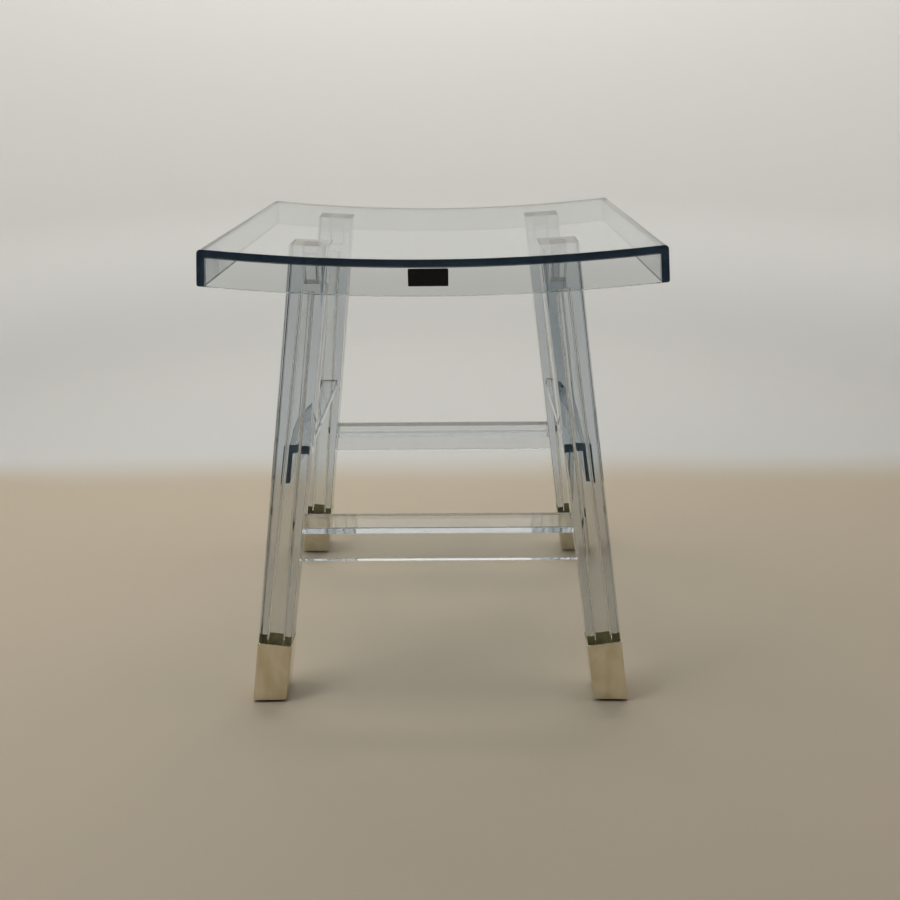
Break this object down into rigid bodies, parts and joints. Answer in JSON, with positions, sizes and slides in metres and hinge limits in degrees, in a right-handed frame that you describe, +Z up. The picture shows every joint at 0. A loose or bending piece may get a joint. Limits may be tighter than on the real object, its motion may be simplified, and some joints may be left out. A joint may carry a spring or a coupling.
{
  "type": "vanity stool",
  "caption": "Clear acrylic stool with a dipped tray seat, splayed tapered hollow legs, angle rails between them and polished metal end caps on rubber glides.",
  "frame": {"origin": "on the floor, under the middle of the seat", "axes": "+Z up, +X to the right along the seat's width, -Y towards the front, which has one of the two long aprons"},
  "size_m": [0.4572, 0.405, 0.5196],
  "materials": {
    "seat_acrylic": "clear, polished, with dark cut edges",
    "leg_acrylic": "clear, polished",
    "rail_acrylic": "clear, polished",
    "cap_metal": "polished, slightly warm",
    "glide_rubber": "matte"
  },
  "bodies": {
    "root": {"seat_top": "seat_acrylic", "left_skirt": "seat_acrylic", "right_skirt": "seat_acrylic", "front_apron": "seat_acrylic", "back_apron": "seat_acrylic", "leg_front_left": "leg_acrylic", "leg_front_right": "leg_acrylic", "leg_back_left": "leg_acrylic", "leg_back_right": "leg_acrylic", "post_front_left": "leg_acrylic", "post_front_right": "leg_acrylic", "post_back_left": "leg_acrylic", "post_back_right": "leg_acrylic", "front_rail_top": "rail_acrylic", "front_rail_face": "rail_acrylic", "back_rail_top": "rail_acrylic", "back_rail_face": "rail_acrylic", "left_rail_top": "rail_acrylic", "left_rail_face": "rail_acrylic", "right_rail_top": "rail_acrylic", "right_rail_face": "rail_acrylic", "cap_front_left": "cap_metal", "cap_front_right": "cap_metal", "cap_back_left": "cap_metal", "cap_back_right": "cap_metal", "glide_front_left": "glide_rubber", "glide_front_right": "glide_rubber", "glide_back_left": "glide_rubber", "glide_back_right": "glide_rubber"}
  },
  "joints": []
}
